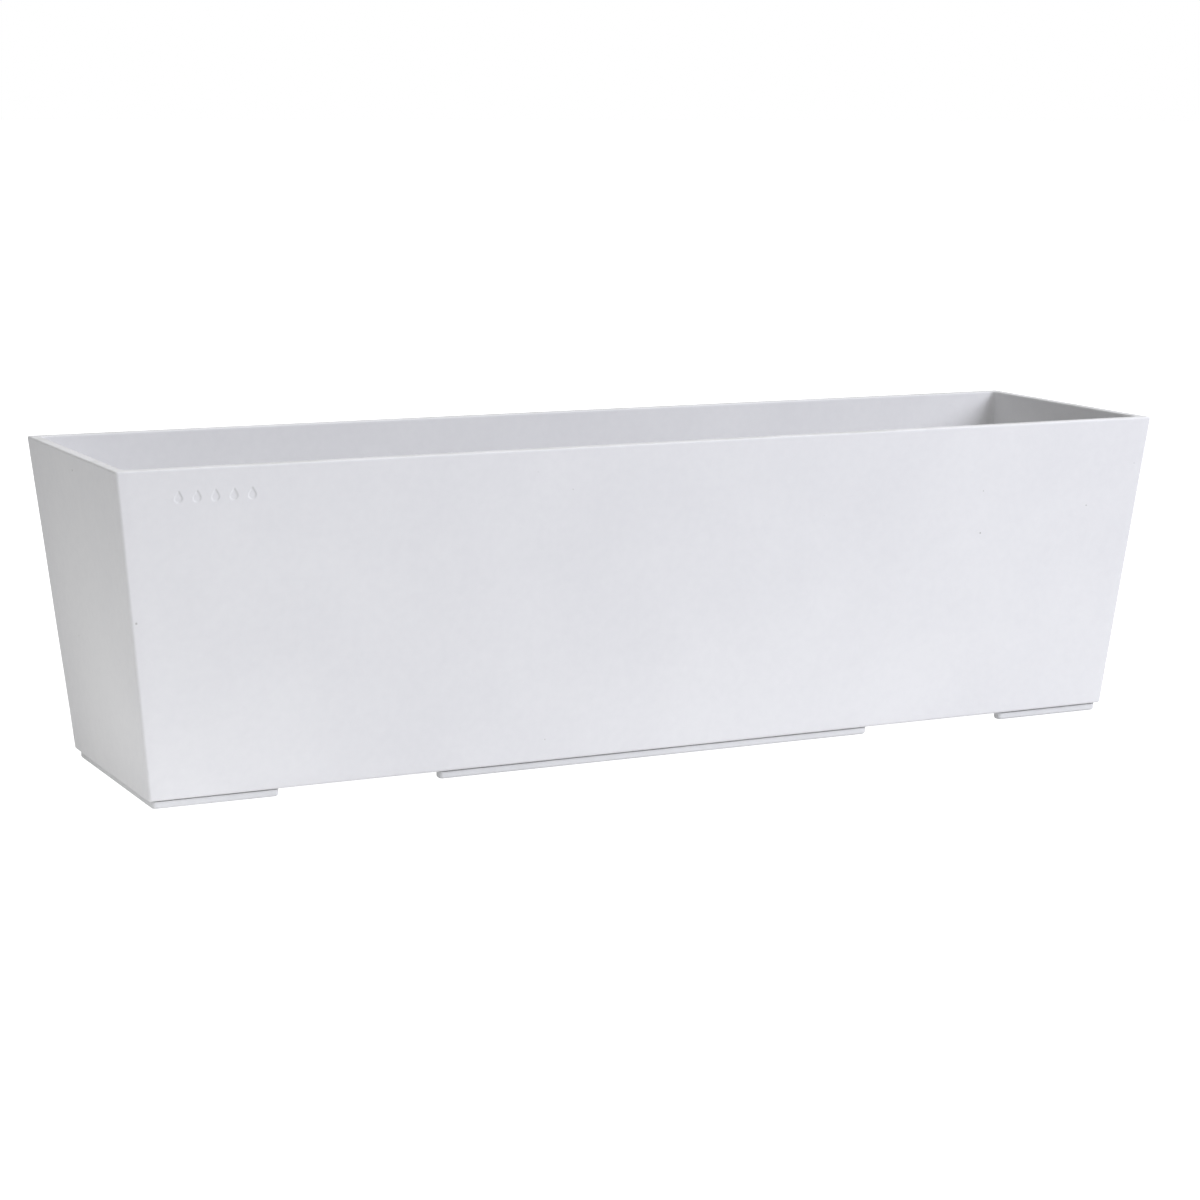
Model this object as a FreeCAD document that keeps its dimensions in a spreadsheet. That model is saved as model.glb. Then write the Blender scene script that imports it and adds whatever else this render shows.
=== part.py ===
"""Self-watering trough planter, as a parametric FreeCAD document.

A long tapered trough stands on low strip feet. Two perforated platforms on legs divide it into a water
reservoir below and a planting space above. Wick cups reach down into the water, a capped tube fills the
reservoir, a float shows its level, and a standpipe over a screwed drain plug lets surplus water out.

Frame: origin at the bottom centre, +X along the trough, -Y to its front, +Z up. Millimetres.
"""

import FreeCAD
import Part

import math
import os
import re

import Sketcher

from FreeCAD import Placement, Rotation, Vector

doc = FreeCAD.newDocument("self_watering_trough")
sheet = doc.addObject("Spreadsheet::Sheet", "Sizes")

# ---------------------------------------------------------------- driving dimensions

SIZES = [
    # trough
    ("top_length", 800, "outer length at the rim"),
    ("top_width", 207, "outer width at the rim"),
    ("total_height", 226, "floor to rim"),
    ("base_length", 753, "outer length at the underside"),
    ("base_width", 171, "outer width at the underside"),
    ("wall", 8, "wall, measured level"),
    ("floor_thickness", 10, "trough floor"),
    ("corner_radius", 4, "outer upright edges"),
    ("inner_corner_radius", 6, "inner upright edges"),
    ("base_edge_radius", 2.5, "outer lower edges"),
    ("inner_floor_radius", 5, "inside, wall to floor"),
    ("rim_radius", 1.5, "both edges of the rim"),
    # sunk row of drops on the front
    ("mark_left", 42, "rim's left end to the first drop's centre"),
    ("mark_drop", 19.6, "rim down to a drop's centre"),
    ("mark_pitch", 12.4, "from drop to drop"),
    ("mark_radius", 2.6, "round part of a drop"),
    ("mark_tip", 5.2, "a drop's centre up to its tip"),
    ("mark_depth", 0.6, "how far a drop is sunk"),
    # feet and their screws
    ("foot_height", 6, "floor to trough underside"),
    ("foot_inset", 3, "trough underside edge to foot edge"),
    ("foot_strip", 8, "width of a foot's strips"),
    ("end_foot_length", 88, "end foot along X"),
    ("centre_foot_length", 340, "centre foot along X"),
    ("foot_corner_radius", 3, "upright edges of a foot"),
    ("foot_lower_radius", 2, "lower edges of a foot"),
    ("foot_groove_height", 1, "shadow groove under the trough"),
    ("foot_groove_depth", 2, "shadow groove, into the strip"),
    ("foot_tab_wall", 3, "round a screw head's seat"),
    ("foot_tab_lift", 0.5, "floor to the underside of a screw tab"),
    ("foot_tab_reach", 5, "strip to screw centre"),
    ("centre_screw_spacing", 240, "along the centre foot, screw to screw"),
    ("screw_radius", 2, "screw shank"),
    ("screw_length", 10, "shank below the head"),
    ("screw_head_radius", 3.6, "pan head"),
    ("screw_head_height", 2.4, "pan head"),
    ("screw_slot_width", 1, "cross recess, each slot"),
    ("screw_slot_depth", 1.2, "cross recess"),
    ("counterbore_depth", 3.2, "seat of the head in the foot"),
    ("screw_play", 0.4, "round the head, and round the shank in the foot"),
    # drain through the floor
    ("drain_bore_radius", 8, "bore of the bush"),
    ("drain_barrel_radius", 11, "outside of the bush's threaded barrel"),
    ("drain_flange_reach", 6, "flange, beyond the barrel"),
    ("drain_flange_thickness", 3, "flange"),
    ("drain_gasket_thickness", 1.5, "rubber ring under the flange"),
    ("drain_collar_height", 8, "socket for the standpipe"),
    ("drain_collar_wall", 3, "round the standpipe"),
    ("drain_nut_wall", 4, "back nut, barrel to a flat"),
    ("drain_nut_thickness", 5, "back nut"),
    ("drain_recess_depth", 4, "recess for the back nut"),
    ("drain_bottom", 4.8, "height of the barrel's lower end"),
    ("drain_hole_play", 0.3, "floor round the barrel"),
    ("drain_seal_thickness", 1.5, "ring on the plug"),
    ("plug_head_radius", 12, "drain plug head"),
    ("plug_head_thickness", 2.2, "drain plug head"),
    ("plug_shank_length", 10, "plug shank above its head"),
    ("plug_fit", 0.05, "bush bore to plug shank"),
    ("plug_coin_width", 2.5, "coin slot in the head"),
    ("pipe_radius", 10, "standpipe outside"),
    ("pipe_wall", 2.5, "standpipe"),
    ("pipe_below_ribs", 4, "standpipe's top, the highest water level, under the ribs"),
    ("pipe_notch_width", 4, "notches in the standpipe's top"),
    ("pipe_notch_depth", 6, "notches in the standpipe's top"),
    # platforms
    ("rest_gap", 0.3, "left between resting faces of pieces that move apart"),
    ("platform_top", 68, "height of the planting side"),
    ("plate_thickness", 3, "platform plate"),
    ("skirt_depth", 8, "platform skirt, top to bottom"),
    ("skirt_thickness", 2.5, "platform skirt"),
    ("platform_clearance", 2, "skirt to trough wall"),
    ("platform_gap", 2, "between the two platforms"),
    ("platform_corner_radius", 6, "upright edges"),
    ("rib_thickness", 1.6, "under the plate"),
    ("rib_depth", 4, "under the plate"),
    ("slot_width", 3, "drain slots"),
    ("slot_bridge", 8, "plate left between rows of drain slots"),
    # wick cups
    ("cup_share", 0.295, "cups from the platform's centre, of its length"),
    ("cup_top_radius", 30.5, "cup outside, under its flange"),
    ("cup_bottom_radius", 24, "cup outside, at its floor"),
    ("cup_wall", 2, "cup"),
    ("cup_flange_reach", 4.5, "cup flange, beyond the cup"),
    ("cup_flange_thickness", 2, "cup flange"),
    ("cup_floor_gap", 1.5, "cup to trough floor"),
    ("cup_play", 0.5, "platform hole round the cup"),
    ("cup_slot_width", 3, "water slots in the cup's side"),
    ("cup_slot_height", 26, "water slots in the cup's side"),
    # legs
    ("leg_share", 0.32, "outer legs from the platform's centre, of its length"),
    ("leg_radius", 7, "leg's cross and top disc"),
    ("leg_foot_radius", 9, "disc on the trough floor"),
    ("leg_disc_thickness", 2, "top and bottom discs"),
    ("leg_web", 2.5, "arms of the leg's cross"),
    ("spigot_radius", 5, "on top of a leg"),
    ("spigot_height", 6, "on top of a leg"),
    ("socket_wall", 3, "round a spigot"),
    # fill tube and its flip lid
    ("tube_edge_gap", 2, "fill tube's collar to the skirt, both ways"),
    ("fill_radius", 16, "fill tube outside"),
    ("fill_wall", 2, "fill tube"),
    ("fill_below_rim", 20, "rim down to the fill tube's mouth"),
    ("tube_floor_gap", 2, "both tubes to the trough floor"),
    ("collar_wall", 2.5, "platform collars"),
    ("collar_height", 10, "platform collars, above the plate"),
    ("ring_wall", 3, "hinge ring round the fill tube"),
    ("ring_depth", 12, "hinge ring down the fill tube"),
    ("ring_lip", 2, "hinge ring over the tube's mouth"),
    ("lid_thickness", 3, "flip lid"),
    ("lid_gap", 0.3, "lid to ring"),
    ("lid_rim_depth", 2, "rim under the lid"),
    ("lid_rim_wall", 2, "rim under the lid"),
    ("lid_rim_play", 0.8, "rim inside the ring's lip"),
    ("hinge_reach", 3.5, "ring's outside to the hinge axis"),
    ("knuckle_radius", 3.2, "hinge knuckles"),
    ("knuckle_width", 6.4, "the lid's knuckle"),
    ("lug_width", 4, "each of the ring's lugs"),
    ("lug_gap", 0.3, "knuckle to lug"),
    ("pin_radius", 1.5, "hinge pin"),
    ("pin_play", 0.08, "lid's knuckle round the pin"),
    ("tab_width", 12, "thumb tab"),
    ("tab_length", 5, "thumb tab"),
    # level indicator
    ("level_radius", 11, "level tube outside"),
    ("level_wall", 1.5, "level tube"),
    ("window_height", 40, "clear part between the level tube and the cap"),
    ("window_overlap", 6, "clear window down over the tube"),
    ("window_wall", 1.5, "clear window"),
    ("window_below_rim", 22, "rim down to the window's top"),
    ("window_band_width", 1.2, "raised level marks"),
    ("window_band_relief", 0.5, "raised level marks"),
    ("cap_wall", 1.5, "level cap round the window"),
    ("cap_skirt", 4, "level cap down over the window"),
    ("cap_top_thickness", 2.5, "level cap"),
    ("stop_height", 3, "ring that holds the float in"),
    ("stop_bore_radius", 5, "water way through that ring"),
    ("float_height", 20, "float"),
    ("float_play", 0.5, "level tube round the float"),
    ("float_travel", 26, "empty to full"),
    ("rod_radius", 1.5, "float rod"),
    ("rod_grip", 8, "rod inside the float"),
    ("flag_radius", 6, "level flag"),
    ("flag_height", 8, "level flag"),
    ("flag_grip", 5, "rod inside the flag"),
    ("flag_play", 2, "full flag to the cap"),
    ("tube_notch_width", 6, "water notches at the foot of both tubes"),
    ("tube_notch_height", 9, "water notches at the foot of both tubes"),
]

for row, (alias, value, note) in enumerate(SIZES, 1):
    sheet.set(f"A{row}", note)
    sheet.set(f"B{row}", str(value))
    sheet.setAlias(f"B{row}", alias)
doc.recompute()

ALIASES = re.compile(r"\b(" + "|".join(alias for alias, _, _ in SIZES) + r")\b")


def formula(text):
    """A formula in plain alias names, as the sheet's own expression."""
    return ALIASES.sub(r"Sizes.\1", str(text))


def number(text):
    """What a formula is worth now."""
    return float(sheet.evalExpression(formula(text)))


def bind(thing, prop, text):
    """Ties a property to a formula of sheet sizes."""
    thing.setExpression(prop, formula(text))


# ---------------------------------------------------------------- places that follow from the sizes

FLOOR = "(foot_height + floor_thickness)"
RISE = "(total_height - foot_height)"


def outer_half(base, top, height):
    """Half the trough's outer length or width at a height."""
    return f"(({base} + ({top} - {base}) * ({height} - foot_height) / {RISE}) / 2)"


def outer_half_length(height):
    return outer_half("base_length", "top_length", height)


def outer_half_width(height):
    return outer_half("base_width", "top_width", height)


SKIRT_BOTTOM = "(platform_top - skirt_depth)"
PLATE_BOTTOM = "(platform_top - plate_thickness)"
PLATFORM_HALF_WIDTH = f"({outer_half_width(SKIRT_BOTTOM)} - wall - platform_clearance)"
PLATFORM_END = f"({outer_half_length(SKIRT_BOTTOM)} - wall - platform_clearance)"
PLATFORM_LENGTH = f"({PLATFORM_END} - platform_gap / 2)"
PLATFORM_CENTRE = f"(({PLATFORM_END} + platform_gap / 2) / 2)"
CUP_X = f"(cup_share * {PLATFORM_LENGTH})"
LEG_X = f"(leg_share * {PLATFORM_LENGTH})"
LEG_Y = f"({outer_half_width(FLOOR)} - wall - inner_floor_radius - leg_foot_radius)"
TUBE_EDGE = "(skirt_thickness + tube_edge_gap + collar_wall + fill_radius)"
FLOOR_EDGE = "(wall + inner_floor_radius + fill_radius)"
TUBE_X = f"min({PLATFORM_END} - {TUBE_EDGE}; {outer_half_length(FLOOR)} - {FLOOR_EDGE})"
TUBE_Y = f"(-min({PLATFORM_HALF_WIDTH} - {TUBE_EDGE}; {outer_half_width(FLOOR)} - {FLOOR_EDGE}))"
TUBE_OFFSET_X = f"({TUBE_X} - {PLATFORM_CENTRE})"
FILL_TOP = "(total_height - fill_below_rim)"
WINDOW_TOP = "(total_height - window_below_rim)"
LEVEL_TOP = f"({WINDOW_TOP} - window_height)"
CUP_FLANGE_RADIUS = "(cup_top_radius + cup_flange_reach)"
FOOT_HALF_LENGTH = "(base_length / 2 - foot_inset)"
FOOT_HALF_WIDTH = "(base_width / 2 - foot_inset)"
END_FOOT_INNER = f"({FOOT_HALF_LENGTH} - end_foot_length)"
END_FOOT_CENTRE = f"({FOOT_HALF_LENGTH} - end_foot_length / 2)"
STRIP_MIDDLE = f"({FOOT_HALF_WIDTH} - foot_strip / 2)"
SCREW_Y = f"({FOOT_HALF_WIDTH} - foot_strip - foot_tab_reach)"
TAB_RADIUS = "(screw_head_radius + screw_play + foot_tab_wall)"
TAB_END = f"({SCREW_Y} - {TAB_RADIUS})"
DRAIN_X = f"(-({END_FOOT_INNER} + centre_foot_length / 2) / 2)"
TAPER = f"atan((top_width - base_width) / 2 / {RISE})"

# ---------------------------------------------------------------- document helpers


def body(name):
    made = doc.addObject("PartDesign::Body", name)
    made.Label = name
    return made


def place(thing, x="0", y="0", z="0"):
    for axis, text in (("x", x), ("y", y), ("z", z)):
        bind(thing, f".Placement.Base.{axis}", text)
    return thing


def origin_feature(of_body, role):
    return next(f for f in of_body.Origin.OriginFeatures if f.Role == role)


def sketch(of_body, name, plane="XY_Plane", height="0"):
    """A sketch on one of the body's own planes, raised by a formula."""
    made = of_body.newObject("Sketcher::SketchObject", name)
    made.AttachmentSupport = [(origin_feature(of_body, plane), "")]
    made.MapMode = "FlatFace"
    bind(made, ".AttachmentOffset.Base.z", height)
    return made


def constrain(on, kind, *where, size=None):
    """Adds a constraint, bound to a formula where it has a size."""
    if size is None:
        return on.addConstraint(Sketcher.Constraint(kind, *where))
    index = on.addConstraint(Sketcher.Constraint(kind, *where, number(size)))
    on.setExpression(f"Constraints[{index}]", formula(size))
    return index


ORIGIN_POINT = (-1, 1)


def outline(on, points):
    """A closed run of straight lines through points given as pairs of formulas."""
    spots = [Vector(number(x), number(y), 0) for x, y in points]
    first = on.GeometryCount
    for i, spot in enumerate(spots):
        on.addGeometry(Part.LineSegment(spot, spots[(i + 1) % len(spots)]), False)
    for i, (x, y) in enumerate(points):
        line, following = first + i, first + (i + 1) % len(points)
        constrain(on, "Coincident", line, 2, following, 1)
        constrain(on, "DistanceX", *ORIGIN_POINT, line, 1, size=x)
        constrain(on, "DistanceY", *ORIGIN_POINT, line, 1, size=y)


def rectangle(on, width, depth, x="0", y="0"):
    left, right = f"({x}) - ({width}) / 2", f"({x}) + ({width}) / 2"
    low, high = f"({y}) - ({depth}) / 2", f"({y}) + ({depth}) / 2"
    outline(on, [(left, low), (right, low), (right, high), (left, high)])


def circle(on, radius, x="0", y="0"):
    centre = Vector(number(x), number(y), 0)
    index = on.addGeometry(Part.Circle(centre, Vector(0, 0, 1), number(radius)), False)
    constrain(on, "Radius", index, size=radius)
    constrain(on, "DistanceX", *ORIGIN_POINT, index, 3, size=x)
    constrain(on, "DistanceY", *ORIGIN_POINT, index, 3, size=y)


def extrude(kind, of_body, profile, length, down=False):
    made = of_body.newObject(f"PartDesign::{kind}", f"{profile.Name}_{kind.lower()}")
    made.Profile = profile
    bind(made, "Length", length)
    made.Reversed = down
    return made


def pad(of_body, profile, length, down=False):
    return extrude("Pad", of_body, profile, length, down)


def pocket(of_body, profile, length, up=False):
    """Cuts downwards from the sketch, or upwards."""
    return extrude("Pocket", of_body, profile, length, up)


def revolve(of_body, name, points):
    """A solid of revolution about Z from a half section of (radius, height) formulas."""
    half = sketch(of_body, f"{name}_section", "XZ_Plane")
    outline(half, points)
    turned = of_body.newObject("PartDesign::Revolution", f"{name}_turned")
    turned.Profile = half
    turned.ReferenceAxis = (half, ["V_Axis"])
    turned.Angle = 360
    return turned


def around(of_body, feature, count):
    """Repeats a feature round the body's Z axis."""
    ring = of_body.newObject("PartDesign::PolarPattern", f"{feature.Name}_ring")
    ring.Originals = [feature]
    ring.Axis = (origin_feature(of_body, "Z_Axis"), [""])
    ring.Angle = 360
    ring.Occurrences = count
    of_body.Tip = ring
    return ring


def edges_where(feature, test):
    doc.recompute()
    found = enumerate(feature.Shape.Edges, 1)
    return [f"Edge{i}" for i, edge in found if test(edge)]


def fillet(of_body, feature, test, radius, kind="Fillet"):
    names = edges_where(feature, test)
    made = of_body.newObject(f"PartDesign::{kind}", f"{feature.Name}_round")
    made.Base = (feature, names)
    bind(made, "Radius" if kind == "Fillet" else "Size", radius)
    doc.recompute()
    return made


def is_upright(edge):
    """True for an edge that climbs more than it runs."""
    a, b = edge.Vertexes[0].Point, edge.Vertexes[-1].Point
    return abs(b.z - a.z) > abs(b.x - a.x) + abs(b.y - a.y)


def level_at(height):
    """A test for edges that lie level at a height."""
    z = number(height)
    return lambda edge: all(abs(point.z - z) < 0.01 for point in edge.discretize(5))


def cylinder(name, radius, height, x="0", y="0", z="0"):
    made = doc.addObject("Part::Cylinder", name)
    bind(made, "Radius", radius)
    bind(made, "Height", height)
    return place(made, x, y, z)


def box(name, size, x="0", y="0", z="0"):
    """A box centred on (x, y), standing on z."""
    made = doc.addObject("Part::Box", name)
    for prop, text in zip(("Length", "Width", "Height"), size):
        bind(made, prop, text)
    return place(made, f"({x}) - ({size[0]}) / 2", f"({y}) - ({size[1]}) / 2", z)


def joined(name, *shapes):
    made = doc.addObject("Part::MultiFuse", name)
    made.Shapes = list(shapes)
    made.Label = name
    return made


def less(name, base, *tools):
    """base with each tool cut away."""
    for count, tool in enumerate(tools, 1):
        made = doc.addObject("Part::Cut", name if count == len(tools) else f"{name}_cut{count}")
        made.Base, made.Tool = base, tool
        base = made
    base.Label = name
    return base


parts = []


def keep(thing):
    """Marks a sub-part for export."""
    parts.append(thing)
    return thing


# ---------------------------------------------------------------- trough shell
# One moulding: four flared walls and a floor, with rounded edges and a row of small sunk drops.

shell = body("planter_shell")


def wedge(kind, name, low, base, top):
    """A block with planar sides from one height up to the rim. Its own Y runs up the trough's Z."""
    made = shell.newObject(f"PartDesign::{kind}Wedge", name)
    made.AttachmentSupport = [(origin_feature(shell, "XZ_Plane"), "")]
    made.MapMode = "FlatFace"
    bind(made, "Ymin", low)
    bind(made, "Ymax", "total_height")
    for axis, base_size, top_size in zip("XZ", base, top):
        bind(made, f"{axis}min", f"-({base_size}) / 2")
        bind(made, f"{axis}max", f"({base_size}) / 2")
        bind(made, f"{axis}2min", f"-({top_size}) / 2")
        bind(made, f"{axis}2max", f"({top_size}) / 2")
    return made


def rises_from(height):
    """A test for upright edges whose lower end is at a height."""
    z = number(height)
    return lambda edge: is_upright(edge) and abs(min(v.Point.z for v in edge.Vertexes) - z) < 0.01


base_size, top_size = ("base_length", "base_width"), ("top_length", "top_width")
outside = wedge("Additive", "outside", "foot_height", base_size, top_size)
outside = fillet(shell, outside, rises_from("foot_height"), "corner_radius")
fillet(shell, outside, level_at("foot_height"), "base_edge_radius")

floor_size = (
    f"2 * {outer_half_length(FLOOR)} - 2 * wall",
    f"2 * {outer_half_width(FLOOR)} - 2 * wall",
)
inside = wedge("Subtractive", "inside", FLOOR, floor_size, ("top_length - 2 * wall", "top_width - 2 * wall"))
hollow = fillet(shell, inside, rises_from(FLOOR), "inner_corner_radius")
hollow = fillet(shell, hollow, level_at(FLOOR), "inner_floor_radius")
fillet(shell, hollow, level_at("total_height"), "rim_radius")

drain_hole = sketch(shell, "drain_hole", height="foot_height")
circle(drain_hole, "drain_barrel_radius + drain_hole_play", x=DRAIN_X)
pocket(shell, drain_hole, "floor_thickness", up=True)

NUT_CORNER_RADIUS = "((drain_barrel_radius + drain_nut_wall) / cos(30))"
nut_recess = sketch(shell, "nut_recess", height="foot_height")
circle(nut_recess, f"{NUT_CORNER_RADIUS} + 2", x=DRAIN_X)
pocket(shell, nut_recess, "drain_recess_depth", up=True)

FOOT_SCREWS = [(row, f"{side} * {END_FOOT_CENTRE}") for side in (-1, 1) for row in (-1, 1)]
FOOT_SCREWS += [(row, f"{side} * centre_screw_spacing / 2") for row in (-1, 1) for side in (-1, 1)]
pilots = sketch(shell, "screw_pilots", height="foot_height")
for row, x in FOOT_SCREWS:
    circle(pilots, "screw_radius", x, f"{row} * {SCREW_Y}")
pocket(shell, pilots, "counterbore_depth + screw_length - foot_height + 0.3", up=True)

# The drops: a sketch on a plane tilted like the front wall.
drops = sketch(shell, "drops", "XZ_Plane")
MARK_HEIGHT = "(total_height - mark_drop)"
drops.AttachmentOffset = Placement(Vector(0, 0, 0), Rotation(Vector(1, 0, 0), 5))
bind(drops, ".AttachmentOffset.Base.x", "mark_left - top_length / 2")
bind(drops, ".AttachmentOffset.Base.y", MARK_HEIGHT)
bind(drops, ".AttachmentOffset.Base.z", outer_half_width(MARK_HEIGHT))
bind(drops, ".AttachmentOffset.Rotation.Angle", TAPER)
DROP_COUNT = 5


def drop_outline(on, x):
    """A drop: an arc, and two straight sides tangent to it that meet at the tip."""
    r, tip = number("mark_radius"), number("mark_tip")
    cx, lean = number(x), math.asin(r / tip)
    left = Vector(cx - r * math.cos(lean), r * math.sin(lean), 0)
    right = Vector(cx + r * math.cos(lean), r * math.sin(lean), 0)
    circle_part = Part.Circle(Vector(cx, 0, 0), Vector(0, 0, 1), r)
    arc = on.addGeometry(Part.ArcOfCircle(circle_part, math.pi - lean, 2 * math.pi + lean), False)
    rising = on.addGeometry(Part.LineSegment(right, Vector(cx, tip, 0)), False)
    falling = on.addGeometry(Part.LineSegment(Vector(cx, tip, 0), left), False)
    constrain(on, "Tangent", arc, 2, rising, 1)
    constrain(on, "Coincident", rising, 2, falling, 1)
    constrain(on, "Tangent", falling, 2, arc, 1)
    constrain(on, "Radius", arc, size="mark_radius")
    constrain(on, "DistanceX", *ORIGIN_POINT, arc, 3, size=x)
    constrain(on, "DistanceY", *ORIGIN_POINT, arc, 3, size="0")
    constrain(on, "DistanceX", *ORIGIN_POINT, rising, 2, size=x)
    constrain(on, "DistanceY", *ORIGIN_POINT, rising, 2, size="mark_tip")


for i in range(DROP_COUNT):
    drop_outline(drops, f"{i} * mark_pitch")
pocket(shell, drops, "mark_depth")
keep(shell)

# ---------------------------------------------------------------- feet
# Strips under the trough's lower edge: a U at each end and two straight ones between them. A groove round
# the top leaves a shadow line, and tabs on the inner side take pan-head screws in counterbores.


def end_foot_outline(side, inset):
    """A U that opens towards the trough's middle, drawn in all round by an inset."""
    outer, inner = f"{side} * ({FOOT_HALF_LENGTH} - {inset})", f"{side} * ({END_FOOT_INNER} + {inset})"
    bend = f"{side} * ({FOOT_HALF_LENGTH} - foot_strip + {inset})"
    edge, hollow = f"({FOOT_HALF_WIDTH} - {inset})", f"({FOOT_HALF_WIDTH} - foot_strip + {inset})"
    outside_edges = [(inner, f"-{edge}"), (outer, f"-{edge}"), (outer, edge), (inner, edge)]
    inside_edges = [(inner, hollow), (bend, hollow), (bend, f"-{hollow}"), (inner, f"-{hollow}")]
    return outside_edges + inside_edges


def centre_foot_outline(row, inset):
    """A straight strip, drawn in all round by an inset."""
    end = f"(centre_foot_length / 2 - {inset})"
    outer = f"{row} * ({FOOT_HALF_WIDTH} - {inset})"
    inner = f"{row} * ({FOOT_HALF_WIDTH} - foot_strip + {inset})"
    return [(f"-{end}", outer), (end, outer), (end, inner), (f"-{end}", inner)]


def foot(name, outline_of, side, screws):
    """One foot: a strip with a groove round its top, and a tab and a counterbored hole for each screw."""
    made = body(name)
    plan = sketch(made, f"{name}_plan")
    outline(plan, outline_of(side, "0"))
    strip = pad(made, plan, "foot_height - foot_groove_height")
    strip = fillet(made, strip, is_upright, "foot_corner_radius")
    fillet(made, strip, level_at("0"), "foot_lower_radius")
    neck = sketch(made, f"{name}_neck", height="foot_height - foot_groove_height")
    outline(neck, outline_of(side, "foot_groove_depth"))
    pad(made, neck, "foot_groove_height")

    tabs = sketch(made, f"{name}_tabs", height="foot_tab_lift")
    for row, x in screws:
        middle = f"{row} * ({STRIP_MIDDLE} + {TAB_END}) / 2"
        rectangle(tabs, f"2 * {TAB_RADIUS}", f"{STRIP_MIDDLE} - {TAB_END}", x=x, y=middle)
    tab = pad(made, tabs, "foot_height - foot_tab_lift")
    near_middle = number(SCREW_Y)

    def is_free_corner(edge):
        return is_upright(edge) and abs(edge.Vertexes[0].Point.y) < near_middle

    fillet(made, tab, is_free_corner, "foot_corner_radius")
    for label, radius, depth in (
        ("through", "screw_radius + screw_play", "foot_height"),
        ("seat", "screw_head_radius + screw_play", "counterbore_depth"),
    ):
        holes = sketch(made, f"{name}_{label}")
        for row, x in screws:
            circle(holes, radius, x, f"{row} * {SCREW_Y}")
        pocket(made, holes, depth, up=True)
    return keep(made)


foot("left_foot", end_foot_outline, -1, FOOT_SCREWS[0:2])
foot("right_foot", end_foot_outline, 1, FOOT_SCREWS[2:4])
foot("centre_front_foot", centre_foot_outline, -1, FOOT_SCREWS[4:6])
foot("centre_back_foot", centre_foot_outline, 1, FOOT_SCREWS[6:8])


def screw(index, x, y):
    """A pan-head screw, head down, with a cross recess."""
    name = f"screw{index}"
    head_top = "counterbore_depth"
    head_low = "counterbore_depth - screw_head_height"
    head = cylinder(f"{name}_head", "screw_head_radius", "screw_head_height", x, y, head_low)
    shank = cylinder(f"{name}_shank", "screw_radius", "screw_length", x, y, head_top)
    reach = ("screw_head_radius * 1.2", "screw_slot_width", "screw_slot_depth")
    along = box(f"{name}_slot_along", reach, x, y, head_low)
    across = box(f"{name}_slot_across", (reach[1], reach[0], reach[2]), x, y, head_low)
    return less(name, joined(f"{name}_blank", head, shank), along, across)


screws = doc.addObject("Part::Compound", "foot_screws")
screws.Links = [screw(i, x, f"{row} * {SCREW_Y}") for i, (row, x) in enumerate(FOOT_SCREWS, 1)]
keep(screws)

# ---------------------------------------------------------------- drain and overflow
# A flanged bush through the floor with a gasket above and a back nut below. A standpipe in its collar sets
# the highest water level, and a plug screwed in from below keeps the water in.

GASKET_TOP = f"({FLOOR} + drain_gasket_thickness)"
FLANGE_TOP = f"({GASKET_TOP} + drain_flange_thickness)"
COLLAR_TOP = f"({FLANGE_TOP} + drain_collar_height)"
PIPE_BOTTOM = f"({FLANGE_TOP} + 2)"
PIPE_TOP = f"({PLATE_BOTTOM} - rib_depth - pipe_below_ribs)"
DRAIN_FLANGE_RADIUS = "(drain_barrel_radius + drain_flange_reach)"
BUSH_COLLAR_RADIUS = "(pipe_radius + drain_collar_wall)"

bush = place(body("drain_bush"), x=DRAIN_X)
revolve(
    bush,
    "bush",
    [
        ("drain_bore_radius", "drain_bottom"),
        ("drain_barrel_radius", "drain_bottom"),
        ("drain_barrel_radius", GASKET_TOP),
        (DRAIN_FLANGE_RADIUS, GASKET_TOP),
        (DRAIN_FLANGE_RADIUS, FLANGE_TOP),
        (BUSH_COLLAR_RADIUS, FLANGE_TOP),
        (BUSH_COLLAR_RADIUS, COLLAR_TOP),
        ("pipe_radius", COLLAR_TOP),
        ("pipe_radius", PIPE_BOTTOM),
        ("drain_bore_radius", PIPE_BOTTOM),
    ],
)
keep(bush)


def ring(name, outer, inner, height, x, y, z):
    """A flat ring, or a plain tube."""
    whole = cylinder(f"{name}_whole", outer, height, x, y, z)
    bore = cylinder(f"{name}_bore", inner, height, x, y, z)
    return less(name, whole, bore)


keep(
    ring(
        "drain_gasket",
        DRAIN_FLANGE_RADIUS,
        "drain_barrel_radius",
        "drain_gasket_thickness",
        DRAIN_X,
        "0",
        FLOOR,
    )
)

NUT_TOP = "(foot_height + drain_recess_depth)"
hexagon = doc.addObject("Part::Prism", "backnut_hexagon")
hexagon.Polygon = 6
bind(hexagon, "Circumradius", NUT_CORNER_RADIUS)
bind(hexagon, "Height", "drain_nut_thickness")
place(hexagon, x=DRAIN_X, z=f"{NUT_TOP} - drain_nut_thickness")
NUT_BOTTOM = f"({NUT_TOP} - drain_nut_thickness)"
nut_bore = cylinder("backnut_bore", "drain_barrel_radius", "drain_nut_thickness", DRAIN_X, "0", NUT_BOTTOM)
keep(less("drain_backnut", hexagon, nut_bore))

pipe = place(body("overflow_pipe"), x=DRAIN_X)
revolve(
    pipe,
    "pipe",
    [
        ("pipe_radius - pipe_wall", PIPE_BOTTOM),
        ("pipe_radius", PIPE_BOTTOM),
        ("pipe_radius", PIPE_TOP),
        ("pipe_radius - pipe_wall", PIPE_TOP),
    ],
)
pipe_notch = sketch(pipe, "pipe_notch", height=PIPE_TOP)
rectangle(pipe_notch, "pipe_radius", "pipe_notch_width", x="pipe_radius")
around(pipe, pocket(pipe, pipe_notch, "pipe_notch_depth"), 4)
keep(pipe)

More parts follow.
